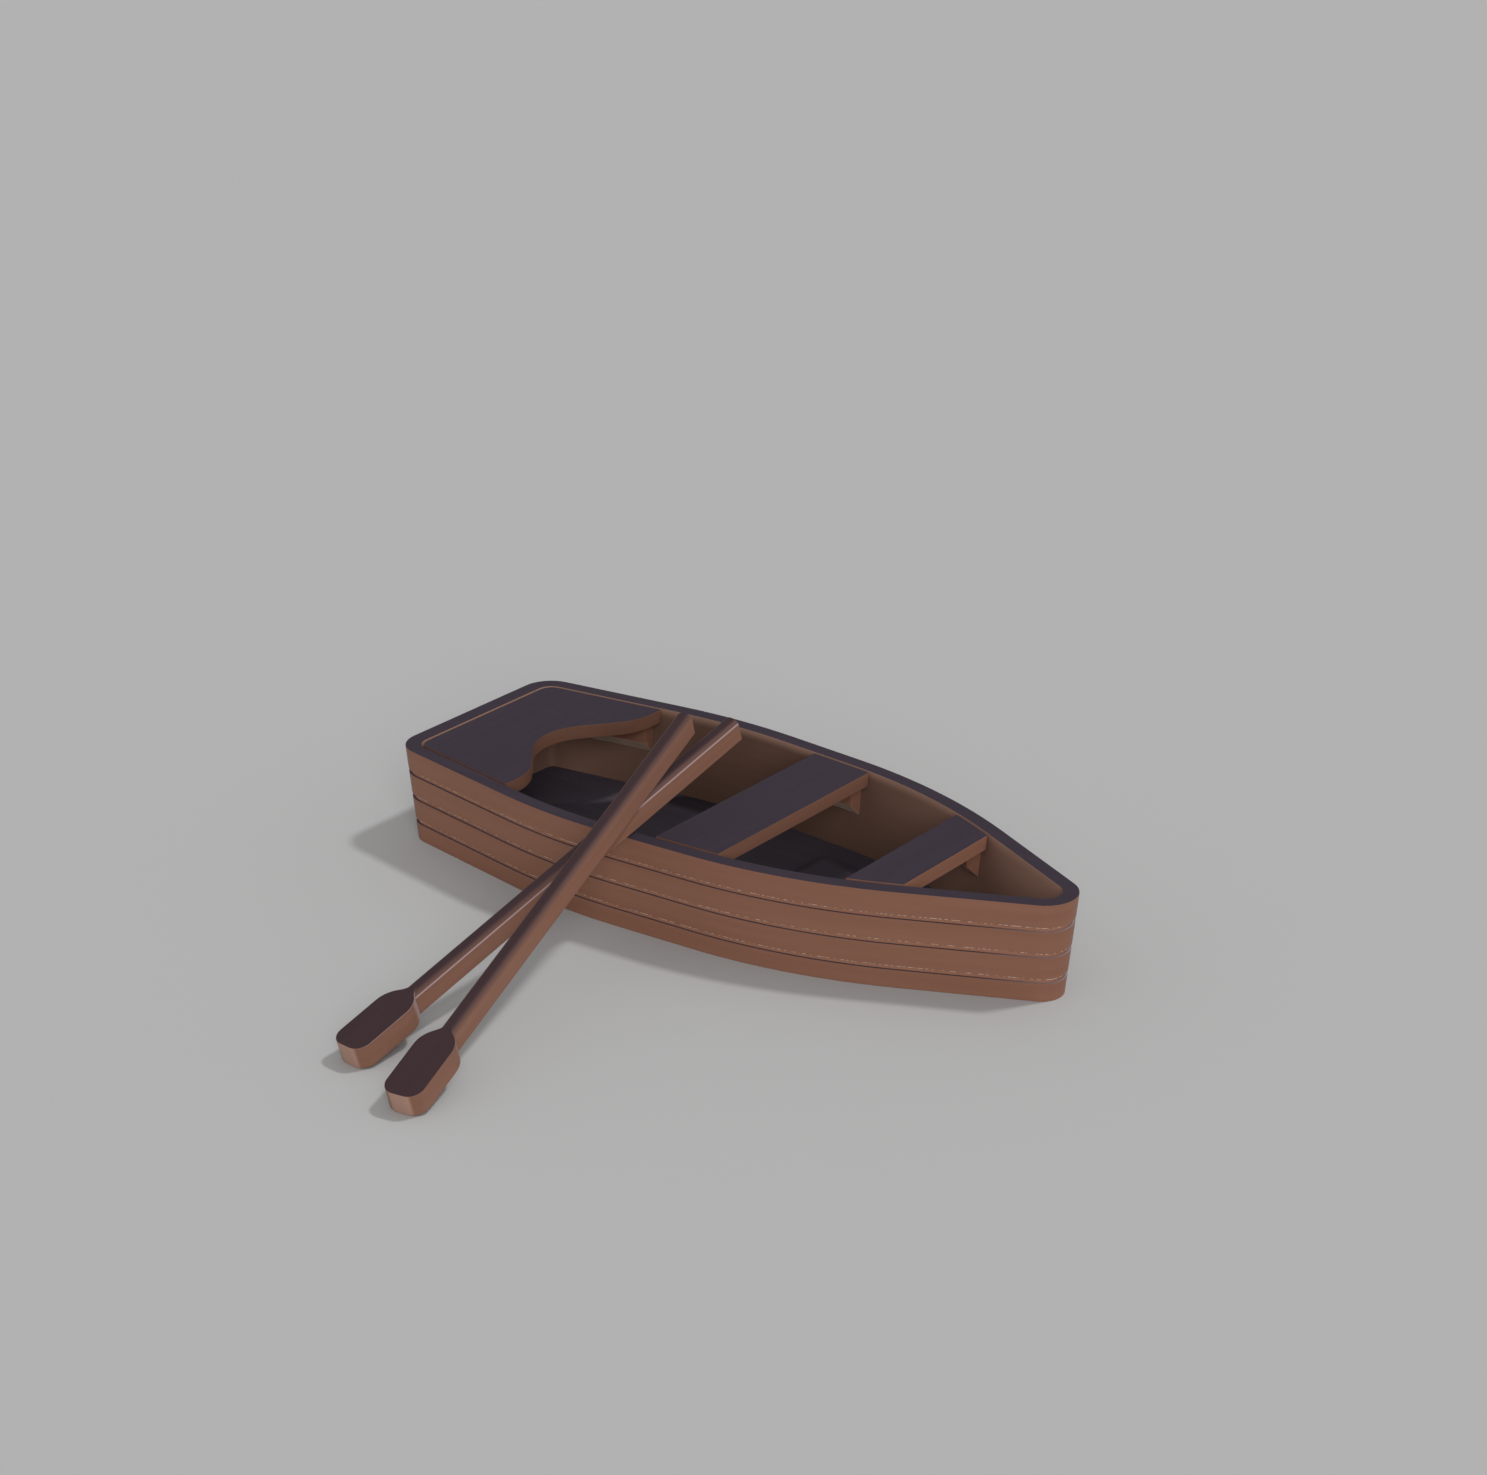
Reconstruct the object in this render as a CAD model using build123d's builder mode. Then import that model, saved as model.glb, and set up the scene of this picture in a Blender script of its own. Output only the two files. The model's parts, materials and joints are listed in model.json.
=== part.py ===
# Flat-bottomed wooden rowing boat: a flared hull of strakes and boards, three seats on cleats,
# and a pair of oars laid over the starboard side.
# +X points to the bow, +Y to port and +Z up; the origin is the middle of the bottom. Millimetres.

import os
from math import atan, atan2, cos, degrees, radians, sin, sqrt, tan

from build123d import *

os.makedirs("parts", exist_ok=True)

# Plan of the gunwale: straight runs with rounded corners between them.
# The quarter is measured forward from the transom, the shoulder aft from the stem.
length = 2706
transom_breadth = 838
quarter_station = 868
quarter_breadth = 1118
shoulder_to_stem = 859
bow_half_angle = 25.7
stern_round = 120
quarter_round = 2220
shoulder_round = 2080
stem_round = 122
least_straight = 60

# Hull section
depth = 378
flare = 5.4
wall = 57
transom_wall = 63
inner_stern_round = 62
sheer_height = 90
strake_height = 101
lower_seams = 3
seam_height = 15
seam_depth = 9
floor_thickness = 54
floor_board = 182
fit_gap = 0.2

# Seats and the cleats that carry them
seat_thickness = 54
seat_gap = 9.5
stern_seat_reach = 570
stern_seat_scoop = 186
scoop_half_breadth = 383
scoop_slope = 38.5
mid_thwart_forward = 59.5
mid_thwart_width = 263
fore_thwart_to_stem = 516
fore_thwart_width = 187
cleat_width = 62
cleat_face = 74
cleat_setback = 36
stern_cleat_aft = 160

# Oars: each lies with the end of its blade on the ground, at a foot that is placed from amidships
# and from the centreline; its heading turns from the bow towards port.
oar_length = 1974
oar_thickness = 87
loom_width = 60
loom_round = 25
blade_width = 143
blade_length = 365
blade_corner = 52
shoulder_length = 147
neck_width = 6
lower_foot_forward = -248
lower_foot_out = 1820
lower_heading = 86.45
upper_foot_forward = 105
upper_foot_out = 1950
upper_heading = 99.8
rest_gap = 0.3
settle_passes = 12

# Driving dimensions worked into the frame
stern_x = -length / 2
stem_x = length / 2
quarter_x = stern_x + quarter_station
shoulder_x = stem_x - shoulder_to_stem
bow_slope = -tan(radians(bow_half_angle))
bow_point_x = stem_x + stem_round * (1 / sin(radians(bow_half_angle)) - 1)
shoulder_half = (shoulder_x - bow_point_x) * bow_slope
aft_slope = (quarter_breadth - transom_breadth) / 2 / quarter_station
mid_slope = (shoulder_half - quarter_breadth / 2) / (shoulder_x - quarter_x)
quarter_turn = atan(aft_slope) - atan(mid_slope)
shoulder_turn = atan(mid_slope) - atan(bow_slope)
seat_underside = depth - seat_thickness
seat_front_x = stern_x + stern_seat_reach
mid_thwart_aft_x = mid_thwart_forward - mid_thwart_width / 2
fore_thwart_aft_x = stem_x - fore_thwart_to_stem - fore_thwart_width

# The rounds of the quarter and shoulder share the run between them, and leave some of it straight.
round_run = quarter_round * tan(quarter_turn / 2) + shoulder_round * tan(shoulder_turn / 2)
round_share = min(1, (shoulder_x - quarter_x - least_straight) / round_run)
quarter_radius = quarter_round * round_share
shoulder_radius = shoulder_round * round_share


def lean(z):
    """Distance that the sides come in, at height z, from the gunwale above."""
    return (depth - z) * tan(radians(flare))


def side_runs(inset):
    """Slope and intercept of the aft, middle and bow runs of the port side."""
    runs = (
        (aft_slope, stern_x, transom_breadth / 2),
        (mid_slope, quarter_x, quarter_breadth / 2),
        (bow_slope, bow_point_x, 0),
    )
    return [(slope, y - slope * x - inset * sqrt(1 + slope**2)) for slope, x, y in runs]


def plan_corners(inset, stern_inset):
    """Sharp corners of the port side: stern, quarter, shoulder and bow."""
    (aft, aft_rise), (mid, mid_rise), (bow, bow_rise) = side_runs(inset)
    stern = stern_x + stern_inset
    quarter = (mid_rise - aft_rise) / (aft - mid)
    shoulder = (bow_rise - mid_rise) / (mid - bow)
    return [
        (stern, aft * stern + aft_rise),
        (quarter, mid * quarter + mid_rise),
        (shoulder, mid * shoulder + mid_rise),
        (-bow_rise / bow, 0),
    ]


def plan_sketch(z, inset, stern_inset, corner_round):
    """The whole plan at height z, drawn inside the gunwale by the insets."""
    *port, bow = plan_corners(inset, stern_inset)
    starboard = [(x, -y) for x, y in port]
    rounds = [corner_round, quarter_radius - inset, shoulder_radius - inset]
    with BuildSketch(Plane.XY.offset(z)) as plan:
        with BuildLine():
            FilletPolyline(
                *starboard,
                bow,
                *reversed(port),
                radius=[*rounds, stem_round - inset, *reversed(rounds)],
                close=True,
            )
        make_face()
    return plan.sketch


def outer_plan(z, recess):
    """Outside of the hull at height z, or a seam that is let into it by the recess."""
    inset = lean(z) + recess
    return plan_sketch(z, inset, inset, stern_round - inset)


def inner_plan(z, gap):
    """Inside of the hull at height z, or a piece that clears it by the gap."""
    inset = lean(z) + gap
    return plan_sketch(z, inset + wall, inset + transom_wall, inner_stern_round - inset)


def half_breadth(x, inset):
    """Half-breadth inside the gunwale by the inset, with the rounded quarter and shoulder."""
    runs = side_runs(inset)
    half = min(slope * x + rise for slope, rise in runs)
    corners = plan_corners(inset, inset)[1:3]
    rounds = (quarter_radius - inset, shoulder_radius - inset)
    for (slope, rise), (next_slope, _), (corner_x, _), radius in zip(runs, runs[1:], corners, rounds):
        heading = atan2(slope, 1)
        next_heading = atan2(next_slope, 1)
        tangent = radius * tan((heading - next_heading) / 2)
        start_x = corner_x - tangent * cos(heading)
        end_x = corner_x + tangent * cos(next_heading)
        centre_x = start_x + radius * sin(heading)
        centre_y = slope * start_x + rise - radius * cos(heading)
        if start_x < x < end_x:
            half = centre_y + sqrt(radius**2 - (x - centre_x) ** 2)
    return half


# Strakes and transom boards: a tapered ring for each plank, cut at the stem and beside the transom.
# The planks below the sheer strake have a rebate along their upper outer edge, which draws the seam.
plank_edges = [depth - sheer_height - strake_height * n for n in range(lower_seams)]
plank_edges = [depth, *plank_edges, 0]
transom_half = transom_breadth / 2 - stern_round
transom_reach = transom_wall + lean(0) + inner_stern_round
transom_block = Box(
    transom_reach,
    2 * transom_half,
    depth,
    align=(Align.MIN, Align.CENTER, Align.MIN),
    mode=Mode.PRIVATE,
).moved(Location((stern_x, 0, 0)))

for number, (high, low) in enumerate(zip(plank_edges, plank_edges[1:]), start=1):
    rebate = 0 if number == 1 else seam_height
    with BuildPart() as ring:
        extrude(outer_plan(low, 0), amount=high - rebate - low, taper=-flare)
        if rebate:
            extrude(outer_plan(high - rebate, seam_depth), amount=rebate, taper=-flare)
        extrude(inner_plan(low, 0), amount=high - low, taper=-flare, mode=Mode.SUBTRACT)

    with BuildPart() as transom_board:
        add(ring.part)
        add(transom_block, mode=Mode.INTERSECT)
    transom_board.part.label = f"transom_board_{number}"
    export_step(transom_board.part, f"parts/transom_board_{number}.step")

    for side, kept in (("port", Keep.BOTTOM), ("starboard", Keep.TOP)):
        with BuildPart() as strake:
            add(ring.part)
            add(transom_block, mode=Mode.SUBTRACT)
            split(bisect_by=Plane.XZ, keep=kept)
        strake.part.label = f"strake_{side}_{number}"
        export_step(strake.part, f"parts/strake_{side}_{number}.step")

# Bottom boards: lengthways between the lowest strakes, the middle one on the centreline.
board_edges = [-transom_breadth, -1.5 * floor_board, -0.5 * floor_board]
board_edges += [-y for y in reversed(board_edges)]

for number, (right_edge, left_edge) in enumerate(zip(board_edges, board_edges[1:]), start=1):
    with BuildPart() as board:
        extrude(inner_plan(0, fit_gap), amount=floor_thickness, taper=-flare)
        with BuildSketch() as board_strip:
            with Locations((0, (right_edge + left_edge) / 2)):
                Rectangle(length, left_edge - right_edge)
        extrude(amount=floor_thickness, mode=Mode.INTERSECT)
    board.part.label = f"bottom_board_{number}"
    export_step(board.part, f"parts/bottom_board_{number}.step")

# Thwarts: planks across the hull, flush with the gunwale, their ends cut to the sides' curve.
thwarts = (
    ("mid_thwart", mid_thwart_aft_x, mid_thwart_width),
    ("fore_thwart", fore_thwart_aft_x, fore_thwart_width),
)

for name, aft_x, width in thwarts:
    with BuildPart() as thwart:
        extrude(inner_plan(seat_underside, seat_gap), amount=seat_thickness, taper=-flare)
        with BuildSketch(Plane.XY.offset(seat_underside)) as thwart_strip:
            with Locations((aft_x + width / 2, 0)):
                Rectangle(width, quarter_breadth)
        extrude(amount=seat_thickness, mode=Mode.INTERSECT)
    thwart.part.label = name
    export_step(thwart.part, f"parts/{name}.step")

# Stern seat: fills the stern, with a bell-shaped scoop in its front edge.
# From the middle outwards the edge is an arc, a straight flank and an equal arc back to the shoulder.
scoop_turn = radians(scoop_slope)
scoop_radius = (scoop_half_breadth * sin(scoop_turn) - stern_seat_scoop * cos(scoop_turn)) / 2
scoop_radius /= 1 - cos(scoop_turn)
flank_length = stern_seat_scoop / sin(scoop_turn) - 2 * scoop_radius * tan(scoop_turn / 2)

with BuildPart() as stern_seat:
    extrude(inner_plan(seat_underside, seat_gap), amount=seat_thickness, taper=-flare)
    with BuildSketch(Plane.XY.offset(seat_underside)) as stern_seat_plan:
        with BuildLine() as stern_seat_edge:
            scoop = JernArc((seat_front_x - stern_seat_scoop, 0), (0, 1), scoop_radius, -scoop_slope)
            flank = Line(scoop @ 1, scoop @ 1 + (scoop % 1) * flank_length)
            scoop_shoulder = JernArc(flank @ 1, flank % 1, scoop_radius, scoop_slope)
            Polyline(
                scoop_shoulder @ 1,
                (seat_front_x, quarter_breadth),
                (stern_x, quarter_breadth),
                (stern_x, 0),
            )
            mirror(about=Plane.XZ)
        make_face()
    extrude(amount=seat_thickness, mode=Mode.INTERSECT)
stern_seat.part.label = "stern_seat"
export_step(stern_seat.part, "parts/stern_seat.step")

# Cleats: short bars along the walls under the seats' ends, their backs planed to the hull
# and their lower inner edge cut away at 45 degrees.
cleats = (
    # seat, aft end and fore end
    ("stern", stern_x + stern_cleat_aft, seat_front_x - cleat_setback),
    ("mid", mid_thwart_aft_x + cleat_setback, mid_thwart_aft_x + mid_thwart_width - cleat_setback),
    ("fore", fore_thwart_aft_x + cleat_setback, fore_thwart_aft_x + fore_thwart_width - cleat_setback),
)
cleat_drop = cleat_face + cleat_width
wall_inset = lean(seat_underside) + wall

for seat, aft_x, fore_x in cleats:
    fore_corner = Vector(fore_x, half_breadth(fore_x, wall_inset), seat_underside)
    aft_corner = Vector(aft_x, half_breadth(aft_x, wall_inset), seat_underside)
    run_aft = aft_corner - fore_corner
    inward = Vector(-run_aft.Y, run_aft.X)
    cleat_plane = Plane(fore_corner, x_dir=inward, z_dir=run_aft)
    with BuildPart() as cleat:
        extrude(inner_plan(seat_underside - 2 * cleat_drop, fit_gap), amount=2 * cleat_drop, taper=-flare)
        with BuildSketch(cleat_plane) as cleat_section:
            with BuildLine():
                Polyline(
                    (-cleat_width, 0),
                    (cleat_width, 0),
                    (cleat_width, -cleat_face),
                    (-cleat_width, -cleat_face - 2 * cleat_width),
                    close=True,
                )
            make_face()
        extrude(amount=run_aft.length, mode=Mode.INTERSECT)
    cleat.part.label = f"{seat}_cleat_port"
    export_step(cleat.part, f"parts/{seat}_cleat_port.step")

    with BuildPart() as far_cleat:
        mirror(cleat.part, about=Plane.XZ)
    far_cleat.part.label = f"{seat}_cleat_starboard"
    export_step(far_cleat.part, f"parts/{seat}_cleat_starboard.step")

# Oar: a loom with rounded upper edges and a flat blade of the same thickness, whose shoulders are swept
# in over the loom to its flat top. It is drawn along +X, its underside level, its blade's end at the origin.
neck_half = neck_width / 2
sweep_turn = 2 * atan2(blade_width / 2 - neck_half, shoulder_length)
sweep_radius = shoulder_length / 2 / sin(sweep_turn)
loom_start = blade_length - shoulder_length

with BuildPart() as oar_shape:
    with BuildSketch() as blade_plan:
        with BuildLine() as blade_edge:
            neck = Line((blade_length, 0), (blade_length, neck_half))
            hollow = JernArc(neck @ 1, (-1, 0), sweep_radius, -degrees(sweep_turn))
            swell = JernArc(hollow @ 1, hollow % 1, sweep_radius, degrees(sweep_turn))
            FilletPolyline(swell @ 1, (0, blade_width / 2), (0, 0), radius=blade_corner)
            mirror(about=Plane.XZ)
        make_face()
    extrude(amount=oar_thickness)
    with BuildSketch(Plane.YZ.offset(loom_start)) as loom_section:
        with Locations((0, oar_thickness / 2)):
            Rectangle(loom_width, oar_thickness)
        fillet(loom_section.vertices().group_by(Axis.Y)[-1], radius=loom_round)
    extrude(amount=oar_length - loom_start)


def level_vector(heading):
    """Level direction at an angle from the bow towards port."""
    return Vector(cos(radians(heading)), sin(radians(heading)))


def loom_axes(level, tilt):
    """Directions along a tilted loom and square to its upper face."""
    along = level * cos(tilt) + Vector(0, 0, sin(tilt))
    upward = level * -sin(tilt) + Vector(0, 0, cos(tilt))
    return along, upward


def loom_half(normal, level, tilt, edge_round):
    """Reach of a loom from its axis, along a normal to it, on a side whose edges have that round."""
    along, upward = loom_axes(level, tilt)
    rise = abs(normal.dot(upward))
    spread = abs(normal.dot(upward.cross(along)))
    return (oar_thickness / 2 - edge_round) * rise + (loom_width / 2 - edge_round) * spread + edge_round


def resting_tilt(level, reach, held_run, held_height, held_half):
    """Tilt that lays a loom over a line which it crosses at that reach from its foot."""
    tilt = 0
    for settle in range(settle_passes):
        along, _ = loom_axes(level, tilt)
        normal = along.cross(held_run).normalized()
        clear = held_half(normal) + rest_gap + loom_half(normal, level, tilt, 0)
        axis_height = held_height + clear / abs(normal.Z)
        tilt = atan2(axis_height - oar_thickness / 2 / cos(tilt), reach)
    return tilt


# The lower oar lies on the outer edge of the gunwale.
lower_foot = Vector(lower_foot_forward, -lower_foot_out)
lower_level = level_vector(lower_heading)
gunwale_reach = 0
for settle in range(settle_passes):
    gunwale_x = lower_foot.X + gunwale_reach * lower_level.X
    gunwale_reach = (lower_foot_out - half_breadth(gunwale_x, 0)) / lower_level.Y
aft_half = half_breadth(gunwale_x - loom_width / 2, 0)
fore_half = half_breadth(gunwale_x + loom_width / 2, 0)
gunwale_run = Vector(loom_width, aft_half - fore_half)
lower_tilt = resting_tilt(lower_level, gunwale_reach, gunwale_run, depth, lambda normal: 0)

# The upper oar lies on the lower one, where their axes cross in plan.
upper_foot = Vector(upper_foot_forward, -upper_foot_out)
upper_level = level_vector(upper_heading)
between_feet = lower_foot - upper_foot
crossing = upper_level.cross(lower_level).Z
upper_reach = between_feet.cross(lower_level).Z / crossing
lower_reach = between_feet.cross(upper_level).Z / crossing
upper_tilt = resting_tilt(
    upper_level,
    upper_reach,
    loom_axes(lower_level, lower_tilt)[0],
    lower_reach * tan(lower_tilt) + oar_thickness / 2 / cos(lower_tilt),
    lambda normal: loom_half(normal, lower_level, lower_tilt, loom_round),
)

oars = (
    ("lower", lower_foot, lower_level, lower_tilt),
    ("upper", upper_foot, upper_level, upper_tilt),
)

for name, foot, level, tilt in oars:
    along, upward = loom_axes(level, tilt)
    underside = Plane(foot, x_dir=along, z_dir=upward)
    with BuildPart() as oar:
        add(oar_shape.part.moved(underside.location))
    oar.part.label = f"oar_{name}"
    export_step(oar.part, f"parts/oar_{name}.step")
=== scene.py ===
import json
from math import radians

import bmesh
import bpy
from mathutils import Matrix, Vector

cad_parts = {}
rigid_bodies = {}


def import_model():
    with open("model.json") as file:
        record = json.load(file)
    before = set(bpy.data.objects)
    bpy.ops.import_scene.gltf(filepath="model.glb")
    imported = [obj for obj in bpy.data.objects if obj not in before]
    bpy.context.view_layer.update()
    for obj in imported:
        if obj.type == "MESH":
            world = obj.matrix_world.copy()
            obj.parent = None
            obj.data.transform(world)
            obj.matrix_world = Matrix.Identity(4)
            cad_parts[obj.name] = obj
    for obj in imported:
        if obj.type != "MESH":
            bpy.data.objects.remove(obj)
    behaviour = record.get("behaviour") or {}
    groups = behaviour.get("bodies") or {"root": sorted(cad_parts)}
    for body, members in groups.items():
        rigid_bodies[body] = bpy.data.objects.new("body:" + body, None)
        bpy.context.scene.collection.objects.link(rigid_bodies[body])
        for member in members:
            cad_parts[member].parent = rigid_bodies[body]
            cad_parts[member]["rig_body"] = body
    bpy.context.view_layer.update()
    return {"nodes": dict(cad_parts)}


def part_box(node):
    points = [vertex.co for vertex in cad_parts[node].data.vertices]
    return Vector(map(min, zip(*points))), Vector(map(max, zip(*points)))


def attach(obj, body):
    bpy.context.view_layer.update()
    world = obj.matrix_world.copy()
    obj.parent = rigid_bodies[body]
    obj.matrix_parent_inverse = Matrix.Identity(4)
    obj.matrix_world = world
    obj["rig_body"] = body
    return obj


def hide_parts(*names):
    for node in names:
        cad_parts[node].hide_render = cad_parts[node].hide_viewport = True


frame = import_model()

# Bottom boards: five softwood planks laid lengthways between the lowest strakes, edge to edge.
# They are the floor inside and the flat bottom below, stained nearly black, with painted light
# where the seats and the port wall cast shadow on them.
# Each piece is the board's own solid with its long edges eased, which draws the joints.
board_count = 5
board_ease = 0.0015
cut_end = 0.2
ease_segments = 2
keep_finish = -1
merge_distance = 0.00001
flat_angle = radians(0.2)
smooth_angle = radians(40)
# The floor's dark stain where the light falls, and the paler painted light laid over its shadows.
floor_lit_tone = (0.029, 0.024, 0.030)
floor_lit_streak = (0.033, 0.027, 0.0335)
floor_painted_light = (0.080, 0.066, 0.0825)
floor_painted_light_streak = (0.090, 0.0744, 0.0913)
floor_streaks = (0.35, 0.7)
floor_roughness = 0.5
shadow_corner, corner_slant = (-1.03, -1.09), 0.9
shadow_fore, fore_painted_light = (-0.3, -0.15), 0.45
light_pool_aft, light_pool_fore, light_pool_port = (0.05, 0.09), (0.2, 0.3), (0.28, 0.36)
lengthways = (1.3, 28, 28)
streak_scale, streak_detail = 1.0, 3.0
fibre_scale, fibre_detail = 7.0, 2.0
fibre_height = 0.0004
fibre_strength = 0.5
fibre_roughness = 0.16
wood_gloss = 0.03
mix_colours, mix_result = (6, 7), 2


def only(piece):
    """Makes one piece the active one and the only one that is selected."""
    bpy.ops.object.select_all(action="DESELECT")
    bpy.context.view_layer.objects.active = piece
    piece.select_set(True)


def merge_corners(piece):
    """Makes one corner of those that lie in the same place."""
    only(piece)
    bpy.ops.object.mode_set(mode="EDIT")
    bpy.ops.mesh.select_all(action="SELECT")
    bpy.ops.mesh.remove_doubles(threshold=merge_distance)
    bpy.ops.object.mode_set(mode="OBJECT")


def timber(node):
    """A new piece with a node's shape, its loose triangles merged into whole faces."""
    piece = bpy.data.objects.new(f"{node}_wood", frame["nodes"][node].data.copy())
    bpy.context.scene.collection.objects.link(piece)
    piece.data.materials.clear()
    only(piece)
    bpy.ops.mesh.customdata_custom_splitnormals_clear()
    merge_corners(piece)
    bpy.ops.object.mode_set(mode="EDIT")
    bpy.ops.mesh.select_all(action="SELECT")
    bpy.ops.mesh.dissolve_limited(angle_limit=flat_angle)
    bpy.ops.object.mode_set(mode="OBJECT")
    return piece


def ease(piece, width, wanted, material=keep_finish):
    """Rounds over the wanted sharp edges, told by an edge's middle and its two faces' normals."""
    shape = bmesh.new()
    shape.from_mesh(piece.data)
    for part in (*shape.verts, *shape.edges, *shape.faces):
        part.select = False
    for edge in shape.edges:
        if edge.is_convex and edge.calc_face_angle(0) > smooth_angle:
            middle = (edge.verts[0].co + edge.verts[1].co) / 2
            edge.select_set(wanted(middle, *(face.normal for face in edge.link_faces)))
    shape.to_mesh(piece.data)
    shape.free()
    only(piece)
    bpy.context.tool_settings.mesh_select_mode = (False, True, False)
    bpy.ops.object.mode_set(mode="EDIT")
    bpy.ops.mesh.bevel(offset=width, segments=ease_segments, affect="EDGES", material=material)
    bpy.ops.object.mode_set(mode="OBJECT")


def fit(piece, node):
    """Shades a finished piece smooth, and puts it on its node's body in the node's place."""
    merge_corners(piece)
    bpy.ops.object.shade_smooth_by_angle(angle=smooth_angle)
    flats = piece.modifiers.new("flats", "WEIGHTED_NORMAL")
    flats.keep_sharp = True
    bpy.ops.object.modifier_apply(modifier=flats.name)
    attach(piece, frame["nodes"][node]["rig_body"])
    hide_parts(node)


class Tone:
    """A value that varies over a surface: sums on it add Math nodes to its material."""

    def __init__(self, socket):
        self.socket = socket

    def node(self, kind, settings, inputs, output=0):
        """A new node, its settings made first and then its inputs set or linked."""
        tree = self.socket.id_data
        made = tree.nodes.new(kind)
        for setting, value in settings.items():
            setattr(made, setting, value)
        for name, value in inputs.items():
            if isinstance(value, Tone):
                tree.links.new(value.socket, made.inputs[name])
            else:
                made.inputs[name].default_value = value
        return Tone(made.outputs[output])

    def sum(self, operation, first, second):
        """A Math node on two values, of which one may be a plain number."""
        return self.node("ShaderNodeMath", {"operation": operation}, {0: first, 1: second})

    def __add__(self, other):
        return self.sum("ADD", self, other)

    def __radd__(self, other):
        return self.sum("ADD", other, self)

    def __sub__(self, other):
        return self.sum("SUBTRACT", self, other)

    def __rsub__(self, other):
        return self.sum("SUBTRACT", other, self)

    def __mul__(self, other):
        return self.sum("MULTIPLY", self, other)

    def __rmul__(self, other):
        return self.sum("MULTIPLY", other, self)

    def step(self, low, high):
        """0 below low and 1 above high, with a smooth rise between."""
        ends = {"Value": self, "From Min": low, "From Max": high}
        return self.node("ShaderNodeMapRange", {"interpolation_type": "SMOOTHSTEP"}, ends)

    def mix(self, first, second):
        """A colour that goes from the first to the second as this value goes from 0 to 1."""
        inputs = {0: self}
        for socket, colour in zip(mix_colours, (first, second)):
            inputs[socket] = colour if isinstance(colour, Tone) else (*colour, 1)
        return self.node("ShaderNodeMix", {"data_type": "RGBA"}, inputs, output=mix_result)

    def stretch(self, scale):
        """Coordinates scaled by a different amount along each axis."""
        return self.node("ShaderNodeVectorMath", {"operation": "MULTIPLY"}, {0: self, 1: scale})

    def noise(self, scale, detail):
        """Noise from 0 to 1 over these coordinates."""
        shape = {"Vector": self, "Scale": scale, "Detail": detail}
        return self.node("ShaderNodeTexNoise", {}, shape)

    def part(self, axis):
        """One of the three numbers of a vector, told by X, Y or Z."""
        return self.node("ShaderNodeSeparateXYZ", {}, {"Vector": self}, output=axis)


def new_finish(name):
    """A fresh material and its shader's node."""
    finish = bpy.data.materials.new(name)
    finish.use_nodes = True
    return finish, finish.node_tree.nodes["Principled BSDF"]


def surface(shader, output):
    """Where a point of the surface is (Object), or the way that it faces (Normal)."""
    return Tone(shader.id_data.nodes.new("ShaderNodeTexCoord").outputs[output])


def link(tone, shader, socket):
    """Feeds one input of a shader from a value or colour that varies."""
    shader.id_data.links.new(tone.socket, shader.inputs[socket])


def grain(place, stretch):
    """Two noises along the timber: its broad streaks and its fine fibres."""
    along = place.stretch(stretch)
    return along.noise(streak_scale, streak_detail), along.noise(fibre_scale, fibre_detail)


def stain(shader, colour, roughness, fibres):
    """Wood with next to no gloss: its colour, and the roughness and relief of its fibres."""
    link(colour, shader, "Base Color")
    link(roughness + fibre_roughness * fibres, shader, "Roughness")
    shader.inputs["Specular IOR Level"].default_value = wood_gloss
    relief = {"Height": fibres, "Distance": fibre_height, "Strength": fibre_strength}
    link(fibres.node("ShaderNodeBump", {}, relief), shader, "Normal")


def long_edge(middle, *faces):
    """The edges along a board, which lie on neither of its cut ends."""
    return all(abs(face.x) < cut_end for face in faces)


floor_wood, shader = new_finish("floor_wood")
place = surface(shader, "Object")
streaks, fibres = grain(place, lengthways)
streaky = streaks.step(*floor_streaks)
along, across = place.part("X"), place.part("Y")
# Painted light: the floor is paler where the stern seat, the mid thwart and the port wall cast
# shadow; the pool of key light between the thwarts keeps the dark stain.
light_pool = along.step(*light_pool_aft) * (1 - along.step(*light_pool_fore)) * (1 - across.step(*light_pool_port))
fore_part = fore_painted_light * along.step(*shadow_fore) * (1 - light_pool)
painted_light = (along - corner_slant * across).step(*shadow_corner) + fore_part
darker_colour = streaky.mix(floor_lit_tone, floor_lit_streak)
painted_light_colour = streaky.mix(floor_painted_light, floor_painted_light_streak)
stain(shader, painted_light.mix(darker_colour, painted_light_colour), floor_roughness, fibres)

for number in range(1, board_count + 1):
    node = f"bottom_board_{number}"
    board = timber(node)
    board.data.materials.append(floor_wood)
    ease(board, board_ease, long_edge)
    fit(board, node)

# Strakes and transom boards: softwood planks, four high, bent round the hull, butted at the stem.
# Those below the first have a rebate along their upper outer edge, so each seam is a groove.
# They are oiled brown, with painted shade on every face that looks up, the gunwale among them,
# and a painted highlight along the lips of the seams.
courses = (1, 2, 3, 4)
lip_ease = 0.0025
ledge_ease = 0.001
gunwale_ease = 0.003
seam_height = 0.015
oiled_brown = (0.245, 0.1135, 0.0735)
oiled_streak = (0.265, 0.1255, 0.0815)
# The painted shade on faces that look up.
top_shade = (0.0395, 0.030, 0.0415)
top_shade_streak = (0.0435, 0.033, 0.0455)
# The pale painted highlight along the lips of the seams.
lip_highlight = (0.80, 0.65, 0.53)
# Groove walls painted lighter against the shade in them, ledges with painted shade, and near the
# bow a painted highlight.
groove_painted_light = (0.34, 0.16, 0.105)
groove_painted_light_streak = (0.36, 0.172, 0.113)
ledge_shade = (0.095, 0.0685, 0.0815)
ledge_shade_streak = (0.102, 0.0735, 0.0865)
ledge_highlight = (0.30, 0.235, 0.25)
bow_highlight = (1.05, 1.33)
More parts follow.
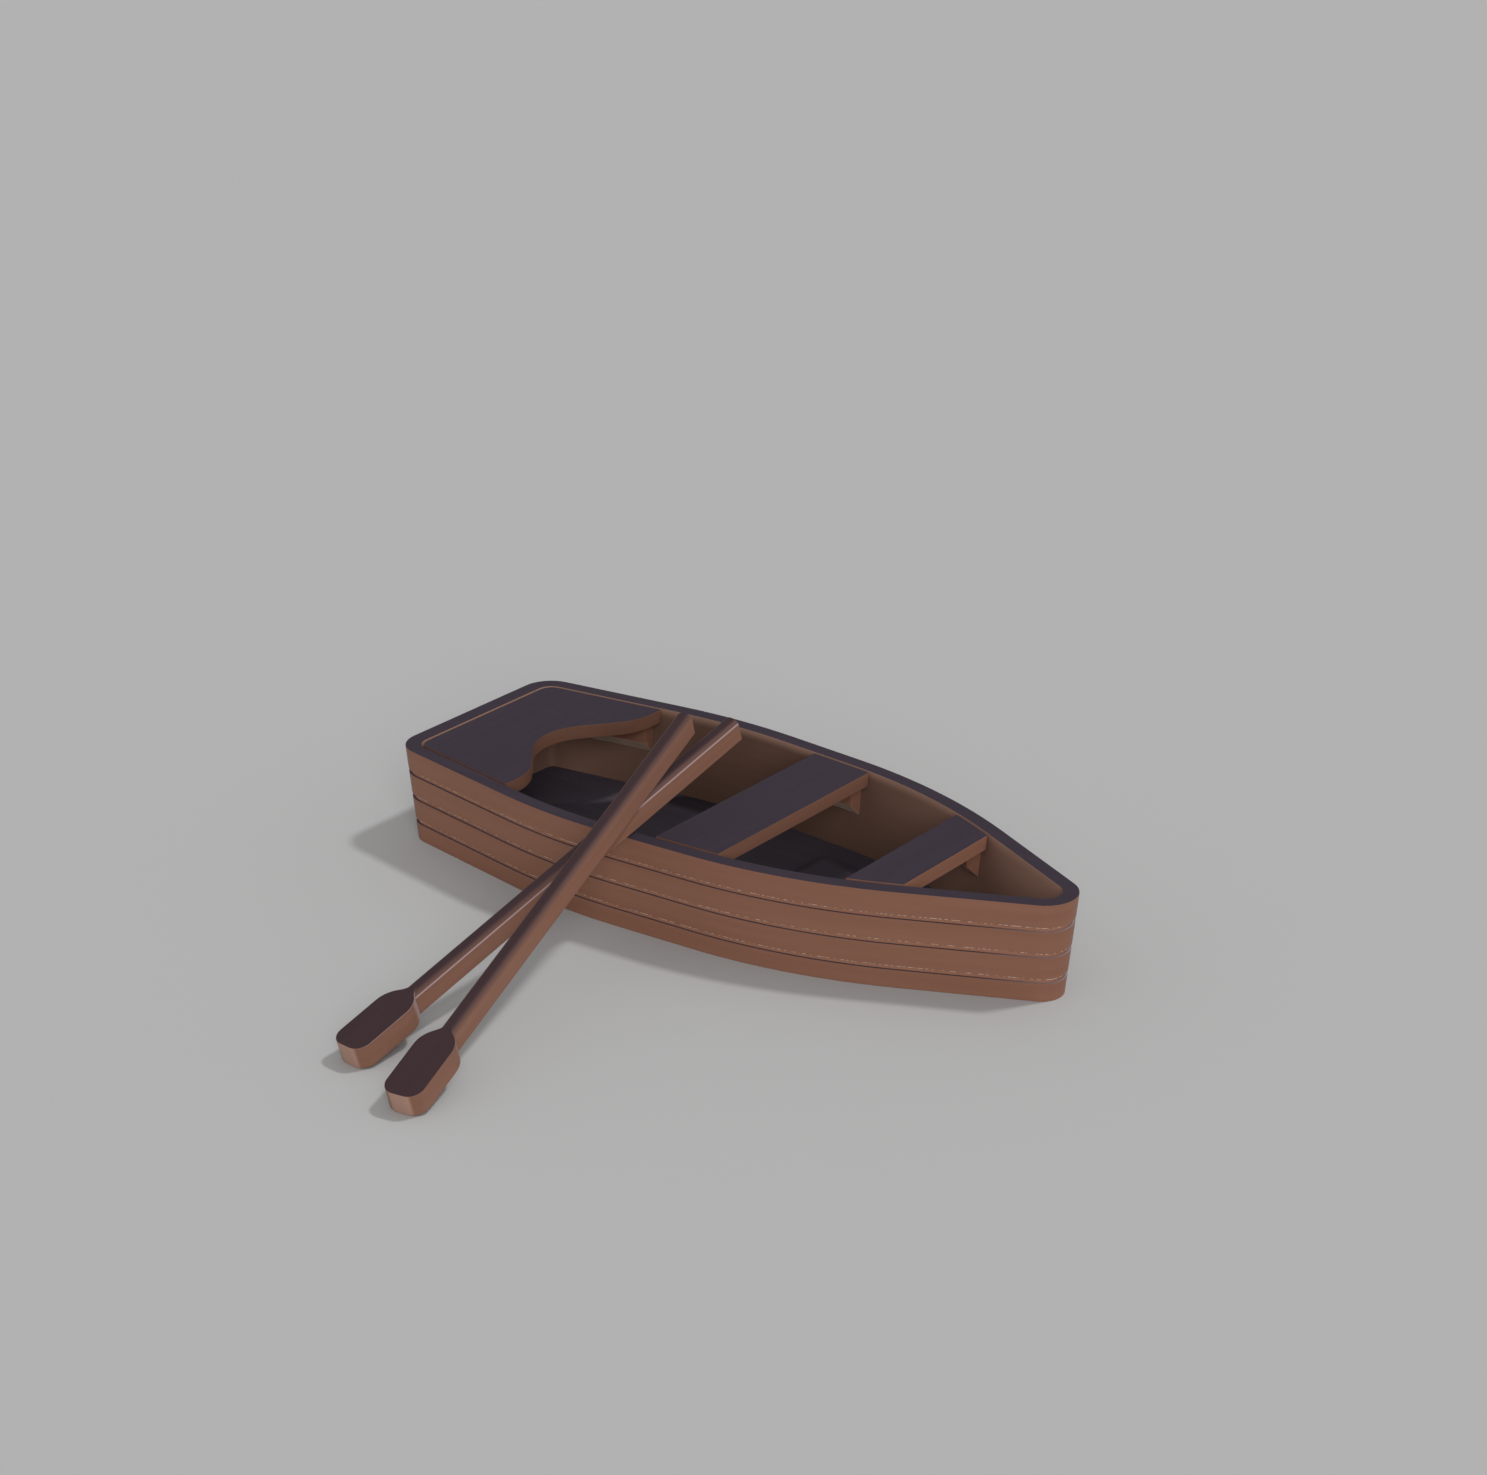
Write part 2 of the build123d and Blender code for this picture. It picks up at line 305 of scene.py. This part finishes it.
# The walls inside: painted shade low down amidships, and paler painted sheen and light at the ends
# and rim.
painted_shade_brown = (0.113, 0.062, 0.0445)
painted_shade_streak = (0.122, 0.0675, 0.049)
painted_light_brown = (0.325, 0.19, 0.141)
bow_sheen = (-0.3, 1.9)
stern_sheen = (-0.55, -1.6)
rim_light = (0.34, 0.385)
around = (1.3, 1.3, 28)
plank_streaks = (0.3, 0.7)
plank_roughness = 0.45
shaded_tops = (0.6, 0.85)
plank_oil = 0.3
oil_roughness = 0.3
light_patch_range = (0.46, 0.6)
light_patch_detail = 2.0
patch_roughness = 0.5
pale_roughness = 0.1
lip_pitch = 0.012


def oil(shader, covered, amount):
    """A satin coat of oil where the timber is covered."""
    shader.inputs["Coat Roughness"].default_value = oil_roughness
    link(amount * covered, shader, "Coat Weight")


def top_shaded_wood(name, side, side_streak, top, top_streak, stretches, bow_top=None):
    """Oiled timber with painted shade where it faces up, with grain along its sides and its tops.
    """
    finish, shader = new_finish(name)
    place = surface(shader, "Object")
    # Painted shade: the colour goes dark as a face turns to look up.
    upward = surface(shader, "Normal").part("Z").step(*shaded_tops)
    side_grain, top_grain = (grain(place, stretch) for stretch in stretches)
    side_colour = side_grain[0].step(*plank_streaks).mix(side, side_streak)
    top_colour = top_grain[0].step(*plank_streaks).mix(top, top_streak)
    # A painted highlight on the tops at the bow.
    if bow_top:
        top_colour = place.part("X").step(*bow_highlight).mix(top_colour, bow_top)
    fibres = side_grain[1] + upward * (top_grain[1] - side_grain[1])
    stain(shader, upward.mix(side_colour, top_colour), plank_roughness, fibres)
    oil(shader, 1 - upward, plank_oil)
    return finish


def painted_light_patches(name, base, pale, pitch):
    """Pale painted light or highlight in patches, a few to the given pitch in metres."""
    finish, shader = new_finish(name)
    highlit = surface(shader, "Object").noise(1 / pitch, light_patch_detail).step(*light_patch_range)
    link(highlit.mix(base, pale), shader, "Base Color")
    link(patch_roughness + pale_roughness * highlit, shader, "Roughness")
    return finish


def painted_shade_wall(name):
    """The walls inside: painted shade low down amidships, a paler painted sheen towards both ends
    and painted light at the rim.
    """
    finish, shader = new_finish(name)
    place = surface(shader, "Object")
    streaks, fibres = grain(place, around)
    # Painted shade low down amidships; painted sheen towards both ends and painted light along the
    # rim.
    bow, stern = place.part("X").step(*bow_sheen), place.part("X").step(*stern_sheen)
    painted_shade = (1 - bow) * (1 - stern) * (1 - place.part("Z").step(*rim_light))
    darker_colour = streaks.step(*plank_streaks).mix(painted_shade_brown, painted_shade_streak)
    stain(shader, painted_shade.mix(painted_light_brown, darker_colour), plank_roughness, fibres)
    oil(shader, 1 - painted_shade, plank_oil)
    return finish


hull_wood = top_shaded_wood(
    "hull_wood", oiled_brown, oiled_streak, top_shade, top_shade_streak, (around, lengthways)
)
wall_wood = painted_shade_wall("wall_wood")
# The grooves: walls with painted light against their shade, ledges with painted shade, and a
# painted highlight on the ledges near the bow.
groove_wood = top_shaded_wood(
    "groove_wood", groove_painted_light, groove_painted_light_streak, ledge_shade, ledge_shade_streak, (around, lengthways),
    bow_top=ledge_highlight,
)
# A painted highlight along the lower lips of the planks, in pale patches.
lip_highlight_wood = painted_light_patches("lip_highlight_wood", oiled_brown, lip_highlight, lip_pitch)
plank_finishes = [hull_wood, wall_wood, groove_wood, lip_highlight_wood]
gunwale_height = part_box("strake_port_1")[1].z
joint_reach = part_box("transom_board_1")[1].y
joint_slack = 0.0005
square_cut = 0.999
level_cut = 0.9
side_on = 0.3
well_aft, well_fore = -1.0, 0.9


def faces_out(middle, normal):
    """How far a face on the hull looks outwards, from -1 to 1, seen from inside the well."""
    from_well = Vector((middle.x - min(max(middle.x, well_aft), well_fore), middle.y, 0))
    return normal.dot(from_well.normalized())


def at_joint(middle, normal):
    """Whether a face is the cut end of a plank, at the stem or beside the transom."""
    across = min(abs(middle.y), abs(abs(middle.y) - joint_reach))
    return abs(normal.y) > square_cut and across < joint_slack


def gunwale_edge(middle, *faces):
    """The two upper edges of the highest planks."""
    on_top = middle.z > gunwale_height - joint_slack
    return on_top and not any(at_joint(middle, face) for face in faces)


def seam_edge(middle, *faces):
    """The outer edges along the seams and the bottom."""
    on_top = middle.z > gunwale_height - joint_slack
    if on_top or any(at_joint(middle, face) for face in faces):
        return False
    return any(faces_out(middle, face) > side_on for face in faces)


def lip_edge(middle, *faces):
    """The lower outer edge of a plank, which overhangs the seam below it."""
    return seam_edge(middle, *faces) and any(face.z < -level_cut for face in faces)


def ledge_edge(middle, *faces):
    """The outer edge of the ledge at the foot of a rebate, and the edge along the rebate's top."""
    return seam_edge(middle, *faces) and all(face.z > -level_cut for face in faces)


planks = [(f"strake_{side}", course) for side in ("port", "starboard") for course in courses]
planks += [("transom_board", course) for course in courses]
for run, course in planks:
    node = f"{run}_{course}"
    plank = timber(node)
    for finish in plank_finishes:
        plank.data.materials.append(finish)
    rebate_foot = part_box(node)[1].z - seam_height - joint_slack
    for face in plank.data.polygons:
        lowest = min(plank.data.vertices[corner].co.z for corner in face.vertices)
        if faces_out(face.center, face.normal) < -side_on:
            face.material_index = plank_finishes.index(wall_wood)
        elif lowest > rebate_foot and course != courses[0]:
            face.material_index = plank_finishes.index(groove_wood)
    # Every plank but the lowest gets the painted highlight on its lower lip.
    highlit_lip = keep_finish if course == courses[-1] else plank_finishes.index(lip_highlight_wood)
    ease(plank, lip_ease, lip_edge, material=highlit_lip)
    ease(plank, ledge_ease, ledge_edge)
    ease(plank, gunwale_ease, gunwale_edge)
    fit(plank, node)

# Cleats: short softwood bars glued along the walls under the ends of the seats, which they carry.
# They are oiled brown like the hull, with painted shade on top; their lower inner edge is cut
# away, and the cut, which looks down, has pale painted light.
cleat_ease = 0.002
# The pale painted light on the cut bevel, which looks down.
bevel_light = (0.66, 0.50, 0.39)
bevel_light_streak = (0.74, 0.58, 0.47)
bevel_patch_pitch = 0.04
underside_steepest, underside_flattest = -0.4, -0.9


def every_edge(middle, *faces):
    """All the sharp edges of a piece."""
    return True


cleat_wood = top_shaded_wood(
    "cleat_wood", oiled_brown, oiled_streak, top_shade, top_shade_streak, (lengthways, lengthways)
)
bevel_painted_light = painted_light_patches("bevel_painted_light", bevel_light, bevel_light_streak, bevel_patch_pitch)
cleat_nodes = [
    f"{seat}_cleat_{side}" for seat in ("stern", "mid", "fore") for side in ("port", "starboard")
]
for node in cleat_nodes:
    cleat = timber(node)
    cleat.data.materials.append(cleat_wood)
    cleat.data.materials.append(bevel_painted_light)
    for face in cleat.data.polygons:
        # Faces that look down and inwards, the cut bevel, get the pale painted light.
        face.material_index = int(underside_flattest < face.normal.z < underside_steepest)
    ease(cleat, cleat_ease, every_edge)
    fit(cleat, node)

# Seats: two thwarts and the stern seat, thick softwood planks that lie across the boat on the
# cleats, flush with the gunwale and with a gap at the walls. Their tops have painted shade, and
# their oiled edges have painted shade that is darkest on the stern seat and palest on the fore
# thwart.
seat_ease = 0.003
athwart = (28, 1.3, 28)
seat_brown = (0.209, 0.099, 0.066)
seat_streak = (0.226, 0.109, 0.073)
seat_shading = {"stern_seat": 0.7, "mid_thwart": 0.88, "fore_thwart": 1.2}

for node, shading in seat_shading.items():
    # Painted shade on each seat's edges, scaled by its shading.
    brown, streak = ([level * shading for level in tone] for tone in (seat_brown, seat_streak))
    seat_wood = top_shaded_wood(
        f"{node}_finish", brown, streak, top_shade, top_shade_streak, (athwart, athwart)
    )
    seat = timber(node)
    seat.data.materials.append(seat_wood)
    ease(seat, seat_ease, every_edge)
    fit(seat, node)

# Oars: a pair, each shaped from one softwood plank, with a loom rounded on top and a flat blade.
# They lie loose, the lower on the gunwale and the upper on it, with their blades on the floor.
# They are oiled, with painted shade on top that fades into the brown sides as the loom rounds
# over, paler end grain on the cut ends, a painted highlight on the shoulders, and a painted
# highlight along the ridge of the lower one's loom.
oar_ease = 0.003
end_reach = 0.03
# Painted shade on top, the pale end grain and shoulder highlight, and the painted highlight on the
# ridge.
oar_top_shade = (0.0455, 0.0272, 0.0306)
oar_top_shade_streak = (0.0495, 0.0298, 0.0329)
oar_side = (0.238, 0.1165, 0.079)
oar_side_streak = (0.257, 0.1275, 0.088)
end_grain_and_highlight = (0.41, 0.25, 0.19)
ridge_highlight = (0.37, 0.265, 0.27)
shade_gain = 1.07
blade_cut = (0.85, 0.98)
shoulder_highlight = (-0.35, -0.75)
ridge_foot = (0.12, 0.2)
ridge_head = (0.33, 0.42)
oar_roughness = 0.4
oar_oil = 0.2
dry_tops = (0.68, 0.8)
loom_highlight = {"oar_lower": 1, "oar_upper": 0}


def oar_wood(name, axis, highlit):
    """Oiled timber with its grain along the oar, painted shade on top, and a painted highlight
    along its loom's ridge (1) or none (0).
    """
    finish, shader = new_finish(name)
    place, facing = surface(shader, "Object"), surface(shader, "Normal")
    turn = {"Vector": place, "Rotation": axis.to_track_quat("X", "Z").to_euler()}
    along = place.node("ShaderNodeMapping", {"vector_type": "TEXTURE"}, turn)
    streaks, fibres = grain(along, lengthways)
    streaky = streaks.step(*plank_streaks)
    side = streaky.mix(oar_side, oar_side_streak)
    top = streaky.mix(oar_top_shade, oar_top_shade_streak)
    dot, ways = {"operation": "DOT_PRODUCT"}, {0: facing, 1: -axis}
    to_blade = facing.node("ShaderNodeVectorMath", dot, ways, output="Value")
    # Paler end grain on the cut ends, and a painted highlight on the shoulders.
    ends_and_shoulders = to_blade.step(*blade_cut) + to_blade.step(*shoulder_highlight)
    ends = ends_and_shoulders.mix(side, end_grain_and_highlight)
    tilt = facing.part("Z")
    # A painted highlight along the ridge of the lower loom; painted shade darkens the top as it
    # turns up.
    ridge = highlit * tilt.step(*ridge_foot) * (1 - tilt.step(*ridge_head))
    colour = ridge.mix((shade_gain * tilt).mix(ends, top), ridge_highlight)
    stain(shader, colour, oar_roughness, fibres)
    oil(shader, 1 - tilt.step(*dry_tops), oar_oil)
    return finish


for node, highlit in loom_highlight.items():
    low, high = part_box(node)
    corners = [vertex.co for vertex in frame["nodes"][node].data.vertices]
    blade_end = [corner for corner in corners if corner.y < low.y + end_reach]
    handle_end = [corner for corner in corners if corner.y > high.y - end_reach]
    blade_middle = sum(blade_end, Vector()) / len(blade_end)
    handle_middle = sum(handle_end, Vector()) / len(handle_end)
    oar_axis = (handle_middle - blade_middle).normalized()
    oar = timber(node)
    oar.data.materials.append(oar_wood(f"{node}_finish", oar_axis, highlit))
    ease(oar, oar_ease, every_edge)
    fit(oar, node)

# Studio: a plain pale floor, soft even light and a camera at the picture's viewing angle.
# The key light, from above, port and ahead, throws the soft shadow; a broad one fills in from
# starboard and ahead.
floor_size = 240
floor_grey = (0.445, 0.445, 0.445)
sky_level = 0.5
key_level, key_from, key_spread = 1.155, Vector((0.33, 0.38, 0.865)), radians(6)
fill_level, fill_from, fill_spread = 1.3, Vector((0.62, -0.65, 0.43)), radians(30)
camera_place = (6.5529, -8.5025, 5.1645)
camera_turn = (1.169866, 0, 0.659799)
camera_lens = 79.717
camera_sensor = 36

bpy.ops.mesh.primitive_plane_add(size=floor_size)
studio_floor = bpy.context.object
studio_floor.name = "studio_floor"
floor_paint, shader = new_finish("floor_paint")
shader.inputs["Base Color"].default_value = (*floor_grey, 1)
shader.inputs["Roughness"].default_value = 1
shader.inputs["Specular IOR Level"].default_value = 0
studio_floor.data.materials.append(floor_paint)

for name, level, source, spread in (
    ("key", key_level, key_from, key_spread),
    ("fill", fill_level, fill_from, fill_spread),
):
    bpy.ops.object.light_add(type="SUN", rotation=source.to_track_quat("Z", "Y").to_euler())
    lamp = bpy.context.object
    lamp.name = f"{name}_light"
    lamp.data.energy = level
    lamp.data.angle = spread

world = bpy.data.worlds.new("studio")
bpy.context.scene.world = world
world.use_nodes = True
sky = world.node_tree.nodes["Background"]
sky.inputs["Color"].default_value = (1, 1, 1, 1)
sky.inputs["Strength"].default_value = sky_level
backdrop = world.node_tree.nodes.new("ShaderNodeBackground")
backdrop.inputs["Color"].default_value = (*floor_grey, 1)
path = world.node_tree.nodes.new("ShaderNodeLightPath")
camera_ray, glossy_ray, clear_ray = (
    Tone(path.outputs[f"Is {kind} Ray"]) for kind in ("Camera", "Glossy", "Transmission")
)
seen = camera_ray + glossy_ray + clear_ray
skies = {0: seen, 1: Tone(sky.outputs["Background"]), 2: Tone(backdrop.outputs["Background"])}
shown = seen.node("ShaderNodeMixShader", {}, skies)
world.node_tree.links.new(shown.socket, world.node_tree.nodes["World Output"].inputs["Surface"])

bpy.ops.object.camera_add(location=camera_place, rotation=camera_turn)
camera = bpy.context.object
camera.data.sensor_width = camera_sensor
camera.data.lens = camera_lens
camera.data.clip_end = floor_size
bpy.context.scene.camera = camera
bpy.context.scene.view_settings.view_transform = "Standard"
